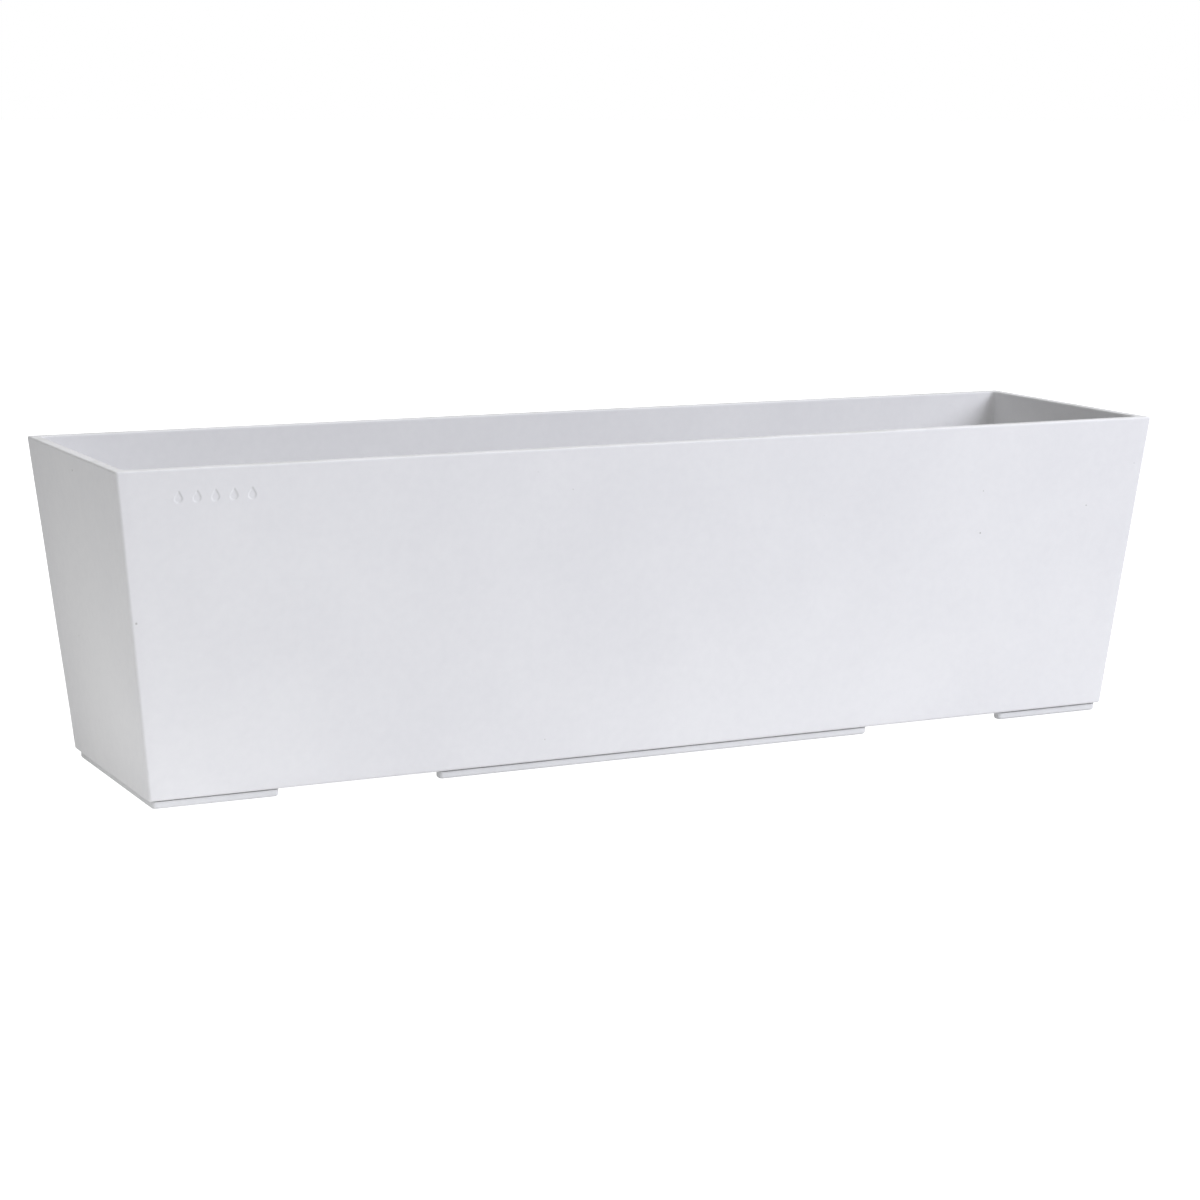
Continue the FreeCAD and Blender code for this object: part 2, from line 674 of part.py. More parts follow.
SEAL_BOTTOM = "(drain_bottom - rest_gap - drain_seal_thickness)"
PLUG_SHANK_RADIUS = "(drain_bore_radius - plug_fit)"
keep(
    ring(
        "drain_plug_seal",
        "drain_barrel_radius",
        f"{PLUG_SHANK_RADIUS} + 0.3",
        "drain_seal_thickness",
        DRAIN_X,
        "0",
        SEAL_BOTTOM,
    )
)
PLUG_SHOULDER = f"({SEAL_BOTTOM} - rest_gap)"
PLUG_BOTTOM = f"({PLUG_SHOULDER} - plug_head_thickness)"
plug_head = cylinder("plug_head", "plug_head_radius", "plug_head_thickness", DRAIN_X, "0", PLUG_BOTTOM)
plug_shank = cylinder("plug_shank", PLUG_SHANK_RADIUS, "plug_shank_length", DRAIN_X, "0", PLUG_SHOULDER)
coin_slot = box(
    "plug_coin_slot",
    ("plug_head_radius * 1.4", "plug_coin_width", "plug_head_thickness / 2"),
    DRAIN_X,
    "0",
    PLUG_BOTTOM,
)
keep(less("drain_plug", joined("plug_blank", plug_head, plug_shank), coin_slot))

# ---------------------------------------------------------------- platforms
# Two perforated plates with a skirt, ribs, cup holes, leg sockets and one tube collar each. A platform is
# modelled about its own centre with the plate's top at zero, then placed. side is -1 left, 1 right.

SOCKET_BOTTOM = f"({PLATE_BOTTOM} - spigot_height - 1)"
LEGS = [(f"{column} * {LEG_X}", f"{row} * {LEG_Y}") for column in (-1, 0, 1) for row in (-1, 1)]
CENTRE_COLUMNS, END_COLUMNS, ROWS = 13, 3, 5
SLOT_PITCH_X = f"(({CUP_X} - {CUP_FLANGE_RADIUS}) / 8)"
SLOT_PITCH_Y = f"(({LEG_Y} - spigot_radius - socket_wall - 1 + slot_bridge / 2) / {ROWS / 2})"
RIB_X = f"(7 * {SLOT_PITCH_X})"
RIB_Y = f"(1.5 * {SLOT_PITCH_Y})"


def slot_field(made, name, x, y, columns, rows):
    """A block of drain slots: one slot at its lowest corner, repeated along X and Y."""
    first = sketch(made, name)
    rectangle(first, "slot_width", f"{SLOT_PITCH_Y} - slot_bridge", x, y)
    cut = pocket(made, first, "plate_thickness")
    block = made.newObject("PartDesign::LinearPattern", f"{name}_block")
    block.Originals = [cut]
    block.Direction = (origin_feature(made, "X_Axis"), [""])
    block.Direction2 = (origin_feature(made, "Y_Axis"), [""])
    block.Occurrences, block.Occurrences2 = columns, rows
    bind(block, "Length", f"{columns - 1} * {SLOT_PITCH_X}")
    bind(block, "Length2", f"{rows - 1} * {SLOT_PITCH_Y}")
    made.Tip = block


def platform(name, side, tube_radius):
    made = place(body(name), x=f"{side} * {PLATFORM_CENTRE}", z="platform_top")
    width = f"2 * {PLATFORM_HALF_WIDTH}"

    plan = sketch(made, f"{name}_plan")
    rectangle(plan, PLATFORM_LENGTH, width)
    tray = pad(made, plan, "skirt_depth", down=True)
    fillet(made, tray, is_upright, "platform_corner_radius")

    under = sketch(made, f"{name}_under", height="-skirt_depth")
    inner_length, inner_width = f"{PLATFORM_LENGTH} - 2 * skirt_thickness", f"{width} - 2 * skirt_thickness"
    rectangle(under, inner_length, inner_width)
    pocket(made, under, "skirt_depth - plate_thickness", up=True)

    for label, sizes, spots in (
        ("long", (inner_length, "rib_thickness"), [("0", f"-{RIB_Y}"), ("0", RIB_Y)]),
        ("cross", ("rib_thickness", inner_width), [(f"-{RIB_X}", "0"), (RIB_X, "0")]),
    ):
        ribs = sketch(made, f"{name}_{label}_ribs", height="-plate_thickness")
        for x, y in spots:
            rectangle(ribs, *sizes, x=x, y=y)
        pad(made, ribs, "rib_depth", down=True)

    sockets = sketch(made, f"{name}_sockets", height="-plate_thickness")
    for x, y in LEGS:
        circle(sockets, "spigot_radius + socket_wall", x, y)
    pad(made, sockets, "spigot_height + 1", down=True)
    socket_holes = sketch(made, f"{name}_socket_holes", height="-plate_thickness - spigot_height - 1")
    for x, y in LEGS:
        circle(socket_holes, "spigot_radius", x, y)
    pocket(made, socket_holes, "spigot_height + 1", up=True)

    rims = sketch(made, f"{name}_cup_rims", height="-plate_thickness")
    for x in (f"-{CUP_X}", CUP_X):
        circle(rims, "cup_top_radius + cup_play + rib_thickness", x)
    pad(made, rims, "rib_depth", down=True)
    cup_holes = sketch(made, f"{name}_cup_holes")
    for x in (f"-{CUP_X}", CUP_X):
        circle(cup_holes, "cup_top_radius + cup_play", x)
    pocket(made, cup_holes, "skirt_depth")

    collar = sketch(made, f"{name}_collar", height="collar_height")
    circle(collar, f"{tube_radius} + collar_wall", x=f"{side} * {TUBE_OFFSET_X}", y=TUBE_Y)
    pad(made, collar, "collar_height + skirt_depth", down=True)
    tube_hole = sketch(made, f"{name}_tube_hole", height="collar_height")
    circle(tube_hole, tube_radius, x=f"{side} * {TUBE_OFFSET_X}", y=TUBE_Y)
    pocket(made, tube_hole, "collar_height + skirt_depth")

    first_row = f"-{ROWS // 2} * {SLOT_PITCH_Y}"
    first_column = f"-{CENTRE_COLUMNS // 2} * {SLOT_PITCH_X}"
    slot_field(made, f"{name}_slots", first_column, first_row, CENTRE_COLUMNS, ROWS)
    near = f"({CUP_X} + {CUP_FLANGE_RADIUS} + {SLOT_PITCH_X} - slot_width / 2)"
    far = f"({near} + {END_COLUMNS - 1} * {SLOT_PITCH_X})"
    tube_end, other_end = (f"-{far}", near) if side < 0 else (near, f"-{far}")
    slot_field(made, f"{name}_tube_end_slots", tube_end, f"-{SLOT_PITCH_Y}", END_COLUMNS, ROWS - 1)
    slot_field(made, f"{name}_other_end_slots", other_end, first_row, END_COLUMNS, ROWS)
    return keep(made)


platform("left_platform", -1, "fill_radius")
platform("right_platform", 1, "level_radius")


def leg(name, x, y):
    """A moulded leg: a cross between two discs, with a spigot that plugs into the platform."""
    bottom = f"({FLOOR} + rest_gap)"
    height = f"({SOCKET_BOTTOM} - {bottom})"
    disc = cylinder(f"{name}_foot", "leg_foot_radius", "leg_disc_thickness", x, y, bottom)
    along = box(f"{name}_along", ("2 * leg_radius", "leg_web", height), x, y, bottom)
    across = box(f"{name}_across", ("leg_web", "2 * leg_radius", height), x, y, bottom)
    top_bottom = f"{SOCKET_BOTTOM} - leg_disc_thickness"
    top = cylinder(f"{name}_top", "leg_radius", "leg_disc_thickness", x, y, top_bottom)
    spigot = cylinder(f"{name}_spigot", "spigot_radius", "spigot_height", x, y, SOCKET_BOTTOM)
    return keep(joined(name, disc, along, across, top, spigot))


for side_name, side in (("left", -1), ("right", 1)):
    for i, (x, y) in enumerate(LEGS, 1):
        leg(f"{side_name}_leg_{i}", f"{side} * {PLATFORM_CENTRE} + {x}", y)

# ---------------------------------------------------------------- wick cups
# Slotted tapered cups, filled with soil, that hang from the platforms into the water.

CUP_BOTTOM = f"({FLOOR} + cup_floor_gap)"
CUP_SLOTS = 8


def wick_cup(name, x):
    made = place(body(name), x=x)
    top = "platform_top + cup_flange_thickness"
    revolve(
        made,
        name,
        [
            ("0", CUP_BOTTOM),
            ("cup_bottom_radius", CUP_BOTTOM),
            ("cup_top_radius", "platform_top"),
            (CUP_FLANGE_RADIUS, "platform_top"),
            (CUP_FLANGE_RADIUS, top),
            ("cup_top_radius - cup_wall", top),
            ("cup_bottom_radius - cup_wall", f"{CUP_BOTTOM} + cup_wall"),
            ("0", f"{CUP_BOTTOM} + cup_wall"),
        ],
    )
    side_slot = sketch(made, f"{name}_side_slot", "XZ_Plane")
    middle = f"{CUP_BOTTOM} + cup_wall + 3 + cup_slot_height / 2"
    rectangle(side_slot, "cup_slot_width", "cup_slot_height", y=middle)
    around(made, pocket(made, side_slot, "cup_top_radius + 5"), CUP_SLOTS)
    floor_slot = sketch(made, f"{name}_floor_slot", height=f"{CUP_BOTTOM} + cup_wall")
    rectangle(floor_slot, "cup_bottom_radius / 2", "cup_slot_width", x="cup_bottom_radius / 2")
    around(made, pocket(made, floor_slot, "cup_wall"), CUP_SLOTS)
    return keep(made)


for i, (side, column) in enumerate(((-1, -1), (-1, 1), (1, -1), (1, 1)), 1):
    wick_cup(f"wick_cup_{i}", f"{side} * {PLATFORM_CENTRE} + {column} * {CUP_X}")

# ---------------------------------------------------------------- tubes
# Both tubes stand in a platform's collar, just off the trough floor, with notches that let the water by.

TUBE_BOTTOM = f"({FLOOR} + tube_floor_gap)"


def notched_tube(name, side, radius, wall_thickness, top):
    made = place(body(name), x=f"{side} * {TUBE_X}", y=TUBE_Y)
    revolve(
        made,
        name,
        [
            (f"{radius} - {wall_thickness}", TUBE_BOTTOM),
            (radius, TUBE_BOTTOM),
            (radius, top),
            (f"{radius} - {wall_thickness}", top),
        ],
    )
    notch = sketch(made, f"{name}_notch", height=TUBE_BOTTOM)
    rectangle(notch, radius, "tube_notch_width", x=radius)
    around(made, pocket(made, notch, "tube_notch_height", up=True), 4)
    return keep(made)


notched_tube("fill_tube", -1, "fill_radius", "fill_wall", FILL_TOP)
notched_tube("indicator_tube", 1, "level_radius", "level_wall", LEVEL_TOP)

# ---------------------------------------------------------------- flip lid on the fill tube
# A ring over the tube's mouth carries two lugs and a pin, and the lid's knuckle turns between the lugs.

FILL_X = f"(-{TUBE_X})"
RING_RADIUS = "(fill_radius + ring_wall)"
MOUTH_RADIUS = "(fill_radius - fill_wall)"
RING_TOP = f"({FILL_TOP} + ring_lip)"
LID_BOTTOM = f"({RING_TOP} + lid_gap)"
HINGE_Y = f"({TUBE_Y} - {RING_RADIUS} - hinge_reach)"
HINGE_Z = f"({LID_BOTTOM} + lid_thickness / 2)"
LUG_X = "(knuckle_width / 2 + lug_gap + lug_width / 2)"
PIN_LENGTH = "(knuckle_width + 2 * lug_gap + 2 * lug_width)"


def cross_bar(name, radius, length, x=FILL_X):
    """A round bar on the hinge axis, along X, centred on x."""
    bar = cylinder(name, radius, length, f"{x} - ({length}) / 2", HINGE_Y, HINGE_Z)
    bar.Placement.Rotation = Rotation(Vector(0, 1, 0), 90)
    return bar


RING_BOTTOM = f"({FILL_TOP} - ring_depth)"
ring_body = ring("ring_body", RING_RADIUS, "fill_radius", "ring_depth", FILL_X, TUBE_Y, RING_BOTTOM)
ring_lip = ring("ring_lip_top", RING_RADIUS, MOUTH_RADIUS, "ring_lip", FILL_X, TUBE_Y, FILL_TOP)
LUG_DEPTH = f"(hinge_reach + knuckle_radius + ring_wall)"
lugs = []
for label, sign in (("left", -1), ("right", 1)):
    x = f"{FILL_X} + {sign} * {LUG_X}"
    y = f"{HINGE_Y} - knuckle_radius + {LUG_DEPTH} / 2"
    root_size = ("lug_width", LUG_DEPTH, "ring_lip + 6")
    lugs.append(box(f"lug_{label}_root", root_size, x, y, f"{RING_TOP} - ring_lip - 6"))
    neck_height = f"({HINGE_Z} - {RING_TOP})"
    neck_size = ("lug_width", "2 * knuckle_radius", neck_height)
    lugs.append(box(f"lug_{label}_neck", neck_size, x, HINGE_Y, RING_TOP))
    lugs.append(cross_bar(f"lug_{label}_eye", "knuckle_radius", "lug_width", x))
lug_tube_space = cylinder("lug_tube_space", "fill_radius", "ring_depth", FILL_X, TUBE_Y, RING_BOTTOM)
ring_pin_hole = cross_bar("ring_pin_hole", "pin_radius", f"{PIN_LENGTH} + 2")
ring_blank = joined("ring_blank", ring_body, ring_lip, *lugs)
keep(less("fill_cap_ring", ring_blank, lug_tube_space, ring_pin_hole))

keep(cross_bar("fill_cap_pin", "pin_radius", PIN_LENGTH))

lid_disc = cylinder("lid_disc", RING_RADIUS, "lid_thickness", FILL_X, TUBE_Y, LID_BOTTOM)
RIM_RADIUS = f"({MOUTH_RADIUS} - lid_rim_play)"
lid_rim = ring(
    "lid_rim",
    RIM_RADIUS,
    f"{RIM_RADIUS} - lid_rim_wall",
    "lid_rim_depth",
    FILL_X,
    TUBE_Y,
    f"{LID_BOTTOM} - lid_rim_depth",
)
lid_knuckle = cross_bar("lid_knuckle", "knuckle_radius", "knuckle_width")
lid_web = box(
    "lid_web",
    ("knuckle_width", "hinge_reach + 2", "lid_thickness"),
    FILL_X,
    f"{HINGE_Y} + (hinge_reach + 2) / 2",
    LID_BOTTOM,
)
lid_tab = box(
    "lid_tab",
    ("tab_width", "tab_length + 4", "lid_thickness"),
    FILL_X,
    f"{TUBE_Y} + {RING_RADIUS} + (tab_length - 4) / 2",
    LID_BOTTOM,
)
lid_pin_hole = cross_bar("lid_pin_hole", "pin_radius + pin_play", "knuckle_width + 2")
lid_blank = joined("lid_blank", lid_disc, lid_rim, lid_knuckle, lid_web, lid_tab)
keep(less("fill_cap", lid_blank, lid_pin_hole))

# ---------------------------------------------------------------- level indicator
# A float in the level tube lifts a rod with a red flag, read through a clear window under a cap.

STOP_TOP = f"({TUBE_BOTTOM} + stop_height)"
FLOAT_BOTTOM = f"({STOP_TOP} + rest_gap)"
LEVEL_BORE = "(level_radius - level_wall)"
FLAG_TOP = f"({WINDOW_TOP} - flag_play - float_travel)"
FLAG_BOTTOM = f"({FLAG_TOP} - flag_height)"

stop = ring(
    "indicator_end_stop", LEVEL_BORE, "stop_bore_radius", "stop_height", TUBE_X, TUBE_Y, TUBE_BOTTOM
)
keep(stop)

FLOAT_TOP = f"({FLOAT_BOTTOM} + float_height)"
FLOAT_RADIUS = f"({LEVEL_BORE} - float_play)"
float_blank = cylinder("float_blank", FLOAT_RADIUS, "float_height", TUBE_X, TUBE_Y, FLOAT_BOTTOM)
float_bore = cylinder("float_bore", "rod_radius", "rod_grip", TUBE_X, TUBE_Y, f"{FLOAT_TOP} - rod_grip")
keep(less("float", float_blank, float_bore))

ROD_BOTTOM = f"({FLOAT_TOP} - rod_grip)"
ROD_LENGTH = f"({FLAG_BOTTOM} + flag_grip - {ROD_BOTTOM})"
keep(cylinder("float_rod", "rod_radius", ROD_LENGTH, TUBE_X, TUBE_Y, ROD_BOTTOM))

flag_blank = cylinder("flag_blank", "flag_radius", "flag_height", TUBE_X, TUBE_Y, FLAG_BOTTOM)
flag_bore = cylinder("flag_bore", "rod_radius", "flag_grip", TUBE_X, TUBE_Y, FLAG_BOTTOM)
keep(less("level_flag", flag_blank, flag_bore))

window = place(body("indicator_window"), x=TUBE_X, y=TUBE_Y)
WINDOW_RADIUS = "(level_radius + window_wall)"
CAP_RADIUS = f"({WINDOW_RADIUS} + cap_wall)"
WINDOW_BOTTOM = f"({LEVEL_TOP} - window_overlap)"
MARKS = [f"({FLAG_TOP} - flag_height / 2 + float_travel * {share})" for share in (0.05, 0.5, 0.95)]
window_section = [("level_radius", WINDOW_BOTTOM), (WINDOW_RADIUS, WINDOW_BOTTOM)]
for level in MARKS:
    low, high = f"{level} - window_band_width / 2", f"{level} + window_band_width / 2"
    proud = f"{WINDOW_RADIUS} + window_band_relief"
    window_section += [(WINDOW_RADIUS, low), (proud, low), (proud, high), (WINDOW_RADIUS, high)]
window_section += [
    (WINDOW_RADIUS, WINDOW_TOP),
    ("level_radius - 0.5", WINDOW_TOP),
    ("level_radius - 0.5", LEVEL_TOP),
    ("level_radius", LEVEL_TOP),
]
revolve(window, "window", window_section)
keep(window)

level_cap = place(body("indicator_cap"), x=TUBE_X, y=TUBE_Y)
revolve(
    level_cap,
    "level_cap",
    [
        ("0", WINDOW_TOP),
        (WINDOW_RADIUS, WINDOW_TOP),
        (WINDOW_RADIUS, f"{WINDOW_TOP} - cap_skirt"),
        (CAP_RADIUS, f"{WINDOW_TOP} - cap_skirt"),
        (CAP_RADIUS, f"{WINDOW_TOP} + cap_top_thickness - 1"),
        (f"{CAP_RADIUS} - 1", f"{WINDOW_TOP} + cap_top_thickness"),
        ("0", f"{WINDOW_TOP} + cap_top_thickness"),
    ],
)
keep(level_cap)

# ---------------------------------------------------------------- check and write

doc.recompute()
failed = [o.Name for o in doc.Objects if "Invalid" in o.State or "Error" in o.State]
if failed:
    raise SystemExit(f"these objects failed: {failed}")

os.makedirs("parts", exist_ok=True)
for part in parts:
    shape = part.Shape
    if shape.isNull() or not shape.isValid() or not shape.Solids:
        raise SystemExit(f"{part.Label} has no valid solid")
    shape.exportStep(f"parts/{part.Label}.step")
    room = shape.BoundBox
    print(
        f"{part.Label:20s} solids {len(shape.Solids)} volume {shape.Volume / 1000:9.2f} cm3"
        f"  x {room.XMin:8.1f} {room.XMax:8.1f}  y {room.YMin:7.1f} {room.YMax:7.1f}"
        f"  z {room.ZMin:6.1f} {room.ZMax:6.1f}"
    )
print(f"{len(parts)} sub-parts")
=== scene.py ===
"""A white self-watering trough planter, finished for looking at.

The file follows the planter as it is put together: trough, feet, drain, platforms, wick cups,
fill tube, level gauge, and then the floor, sky, lamp and camera. Everything is in metres, with
+X along the trough and -Y to its front.
"""

import math

import bpy
import numpy as np
from mathutils import Matrix, Vector


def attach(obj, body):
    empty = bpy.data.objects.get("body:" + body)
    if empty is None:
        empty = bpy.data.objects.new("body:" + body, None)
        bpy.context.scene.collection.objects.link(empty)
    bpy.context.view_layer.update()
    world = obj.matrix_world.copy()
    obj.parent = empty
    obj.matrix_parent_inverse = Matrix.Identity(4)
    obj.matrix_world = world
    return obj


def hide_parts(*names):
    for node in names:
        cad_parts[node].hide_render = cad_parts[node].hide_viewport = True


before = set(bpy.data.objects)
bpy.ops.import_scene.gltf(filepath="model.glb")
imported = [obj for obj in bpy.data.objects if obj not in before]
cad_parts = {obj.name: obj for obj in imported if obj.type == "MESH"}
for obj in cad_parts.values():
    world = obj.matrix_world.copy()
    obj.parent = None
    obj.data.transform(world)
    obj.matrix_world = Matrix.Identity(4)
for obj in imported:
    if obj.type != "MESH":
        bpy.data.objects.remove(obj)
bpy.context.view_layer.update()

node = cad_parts

# -------------------------------------------------------------------------------------- Trough
# One thick-walled moulding in white stone-filled resin. Its four walls flare from a flat floor to
# a plain rim with small rounded edges. A row of five small drops is sunk in the front, and a
# drain hole goes through the floor.

TROUGH_BASE, TROUGH_RIM = np.array([0.3765, 0.0855]), np.array([0.400, 0.1035])
UNDERSIDE, RIM_HEIGHT, FLOOR_HEIGHT = 0.006, 0.226, 0.016
WALL, LEAN = 0.008, math.radians(5.4)
OUTER_CORNER, INNER_CORNER = 0.0026, 0.004
UNDER_EDGE, RIM_EDGE, FLOOR_EDGE = 0.002, 0.0012, 0.003
DRAIN_CENTRE = np.array([-0.22775, 0.0])
DRAIN_HOLE, DRAIN_EDGE = 0.0113, 0.0005
RECESS_RADIUS, RECESS_DEPTH, RECESS_EDGE = 0.0193, 0.004, 0.0006
DROPS, DROP_PITCH, FIRST_DROP, DROP_HEIGHT = 5, 0.0124, -0.358, 0.2064
DROP_RADIUS, DROP_TIP, DROP_DEPTH, DROP_EDGE = 0.0026, 0.0052, 0.0006, 0.0005
OUTER_RIPPLE, INNER_RIPPLE, RIM_RIPPLE = 0.00022, 0.0003, 0.00015
RIPPLE_START, RIPPLE_RISE = 0.012, 0.02

# How finely the trough is divided: round its sides and corners, and up its walls and edges. The
# finer patch on the front, for the drops, is given as shares of the front's length.
LONG_STEPS, SHORT_STEPS, CORNER_STEPS = 111, 31, 8
EDGE_RINGS, OUTER_WALL_RINGS, INNER_WALL_RINGS, RIM_STEPS = 7, 42, 36, 7
UNDERSIDE_RINGS, FLOOR_RINGS, FLAT_MARGIN = 10, 12, 0.0008
PATCH_LEFT, PATCH_RIGHT, PATCH_COLUMNS = 0.0400, 0.1150, 130
PATCH_BELOW, PATCH_ABOVE, PATCH_ROWS = 0.0033, 0.0062, 22
END_SHARE, RING_GAP = 0.003, 0.001


def once_round(side_shares, corner_steps):
    """Once round a rounded rectangle, anticlockwise from the +X side.

    Each point is a corner centre, as signs of the half sizes, and the outward direction there.
    In a corner the centre stays and the direction turns; along a side the direction stays and
    the centre slides to the next by the side's own shares of its length.
    """
    signs = np.array([(1, 1), (-1, 1), (-1, -1), (1, -1)], float)
    turn = np.linspace(0, 1, corner_steps + 1)
    centres, angles = [], []
    for corner, slide in enumerate(side_shares):
        following = signs[(corner + 1) % 4]
        centres += [np.tile(signs[corner], (len(turn), 1))]
        centres += [signs[corner] + slide[:, None] * (following - signs[corner])]
        angles += [(corner + turn) * math.pi / 2]
        angles += [np.full(len(slide), (corner + 1) * math.pi / 2)]
    angle = np.concatenate(angles)
    return np.concatenate(centres), np.column_stack([np.cos(angle), np.sin(angle)])


def raised(level, height):
    """A grid of level points, lifted to one height, or to a height of its own for each ring."""
    rise = np.broadcast_to(np.reshape(height, (-1, 1, 1)), level.shape[:2] + (1,))
    return np.concatenate([level, rise], axis=2)


def rectangle_rings(signs, outward, section):
    """Rounded rectangles stacked into a grid of points, one ring per row of the section.

    A row is (half length, half width, corner radius, height). A point is its corner centre, the
    signs times the half sizes less the radius, plus the radius along the outward direction.
    """
    half, radius, height = section[:, None, 0:2], section[:, None, 2:3], section[:, 3]
    return raised(signs[None] * (half - radius) + radius * outward[None], height)


def wall_at(height):
    """Half the outer length and half the outer width, which grow evenly from base to rim."""
    share = (np.asarray(height, float)[..., None] - UNDERSIDE) / (RIM_HEIGHT - UNDERSIDE)
    return TROUGH_BASE + share * (TROUGH_RIM - TROUGH_BASE)


def straight_run(low, high, inset, corner, steps, fine=()):
    """Rings up a wall at a level inset from its outer face, closer together next to both ends.

    Where a fine run of heights is given, it takes the place of the even ones.
    """
    even = np.linspace(0, 1, steps)
    height = low + (high - low) * np.concatenate([[END_SHARE], even[1:-1], [1 - END_SHARE]])
    if len(fine):
        below, above = height < fine[0] - RING_GAP, height > fine[-1] + RING_GAP
        height = np.concatenate([height[below], fine, height[above]])
    return np.column_stack([wall_at(height) - inset, np.full(len(height), corner), height])


def rounded_edge(radius, height, inset, corner, start, end):
    """Rings round an edge: the wall's line at a centre height, less an inset, plus an arc.

    The arc goes from the start angle to the end angle. The corner radius grows and shrinks with
    the arc's reach, so the edge keeps its size round the corners.
    """
    angle = np.linspace(start, end, EDGE_RINGS)
    reach = radius * np.cos(angle)
    half = wall_at(height) - inset + reach[:, None]
    return np.column_stack([half, corner + reach, height + radius * np.sin(angle)])


def from_drain(ring):
    """The level direction from the drain's centre to each point of a ring."""
    away = ring[:, :2] - DRAIN_CENTRE
    return away / np.linalg.norm(away, axis=1, keepdims=True)


def flat_to_hole(ring, hole_radius, steps):
    """Rings across a flat floor, from a rounded rectangle in to a hole that may be off centre.

    A point moves in a straight line to the hole's edge in its own direction from the hole's
    centre. The steps crowd together at both ends.
    """
    edge = DRAIN_CENTRE + hole_radius * from_drain(ring)
    share = 0.5 - 0.5 * np.cos(np.pi * np.linspace(0, 1, steps + 2)[1:-1])
    return raised(ring[None, :, :2] + share[:, None, None] * (edge - ring[:, :2]), ring[0, 2])


def hole_rings(ring, radii_and_heights):
    """Circles round the drain's centre, with points in the directions of an outer ring's."""
    radius, height = np.array(radii_and_heights).T
    return raised(DRAIN_CENTRE + radius[:, None, None] * from_drain(ring), height)


def cast_ripple(points):
    """How far a cast face dips below flat, 0 to 1: four slow waves of unlike lengths, added.

    The waves' sizes add up to 2.8, so the sum over 5.6 is between minus and plus a half.
    """
    x, y, z = (points[..., axis] for axis in range(3))
    waves = (
        np.sin(31 * x + 17 * z + 1.3)
        + 0.8 * np.sin(53 * x - 37 * z + 24 * y + 0.4)
        + 0.6 * np.sin(19 * x + 71 * z - 41 * y + 2.2)
        + 0.4 * np.sin(97 * x + 47 * z + 67 * y)
    )
    return 0.5 + waves / 5.6


def drop_depth(points):
    """How deep the row of drops is sunk at each point of the front.

    A drop is a circle with two straight sides tangent to it that meet at a tip above. Past the
    side's tangent point the distance to its edge is measured along the side's own direction,
    elsewhere from the circle's centre. The depth eases from nothing to full across a narrow band
    at the edge.
    """
    number = np.clip(np.round((points[..., 0] - FIRST_DROP) / DROP_PITCH), 0, DROPS - 1)
    across = np.abs(points[..., 0] - FIRST_DROP - number * DROP_PITCH)
    up = points[..., 2] - DROP_HEIGHT
    lean = math.asin(DROP_RADIUS / DROP_TIP)
    along_side = across * math.cos(lean) + up * math.sin(lean)
    beside = up * math.cos(lean) > across * math.sin(lean)
    past_edge = np.where(beside, along_side, np.hypot(across, up)) - DROP_RADIUS
    share = np.clip(0.5 - past_edge / DROP_EDGE, 0, 1)
    return np.where(points[..., 1] < 0, DROP_DEPTH * share**2 * (3 - 2 * share), 0)


def closed_skin(name, grid):
    """A smooth mesh from a grid of points that closes on itself both ways, facing outward."""
    rings, around = grid.shape[:2]
    index = np.arange(rings * around).reshape(rings, around)
    along = np.roll(index, -1, axis=0)
    quads = np.stack([index, np.roll(index, -1, 1), np.roll(along, -1, 1), along], axis=2)
    quads, points = quads.reshape(-1, 4), grid.reshape(-1, 3)
    mesh = bpy.data.meshes.new(name)
    mesh.from_pydata(points.tolist(), [], quads.tolist())
    a, b, c, d = (points[quads[:, corner]] for corner in range(4))
    volume = np.einsum("ij,ij->", np.cross(c - a, d - b), a + b + c + d)
    if volume < 0:
        mesh.flip_normals()
    mesh.shade_smooth()
    piece = bpy.data.objects.new(name, mesh)
    bpy.context.scene.collection.objects.link(piece)
    return piece


even_long, even_short = (np.linspace(0, 1, steps)[1:-1] for steps in (LONG_STEPS, SHORT_STEPS))
patch_columns = np.linspace(PATCH_LEFT, PATCH_RIGHT, PATCH_COLUMNS)
beside_patch = (even_long < PATCH_LEFT) | (even_long > PATCH_RIGHT)
front_shares = np.sort(np.concatenate([even_long[beside_patch], patch_columns]))
patch_rows = np.linspace(DROP_HEIGHT - PATCH_BELOW, DROP_HEIGHT + PATCH_ABOVE, PATCH_ROWS)
signs, outward = once_round([even_long, even_short, front_shares, even_short], CORNER_STEPS)

under_line, rim_line = UNDERSIDE + UNDER_EDGE, RIM_HEIGHT - RIM_EDGE
floor_line = FLOOR_HEIGHT + FLOOR_EDGE
outer_section = [
    rounded_edge(UNDER_EDGE, under_line, UNDER_EDGE / math.cos(LEAN), OUTER_CORNER - UNDER_EDGE,
                 -math.pi / 2, -LEAN),
    straight_run(under_line, rim_line, 0, OUTER_CORNER, OUTER_WALL_RINGS, patch_rows),
    rounded_edge(RIM_EDGE, rim_line, RIM_EDGE, OUTER_CORNER - RIM_EDGE, -LEAN, math.pi / 2),
]
inner_section = [
    rounded_edge(RIM_EDGE, rim_line, WALL - RIM_EDGE, INNER_CORNER + RIM_EDGE,
                 math.pi / 2, math.pi - LEAN),
    straight_run(rim_line, floor_line, WALL, INNER_CORNER, INNER_WALL_RINGS),
    rounded_edge(FLOOR_EDGE, floor_line, WALL + FLOOR_EDGE, INNER_CORNER - FLOOR_EDGE,
                 -LEAN, -math.pi / 2),
]
outer = rectangle_rings(signs, outward, np.concatenate(outer_section))
inner = rectangle_rings(signs, outward, np.concatenate(inner_section))

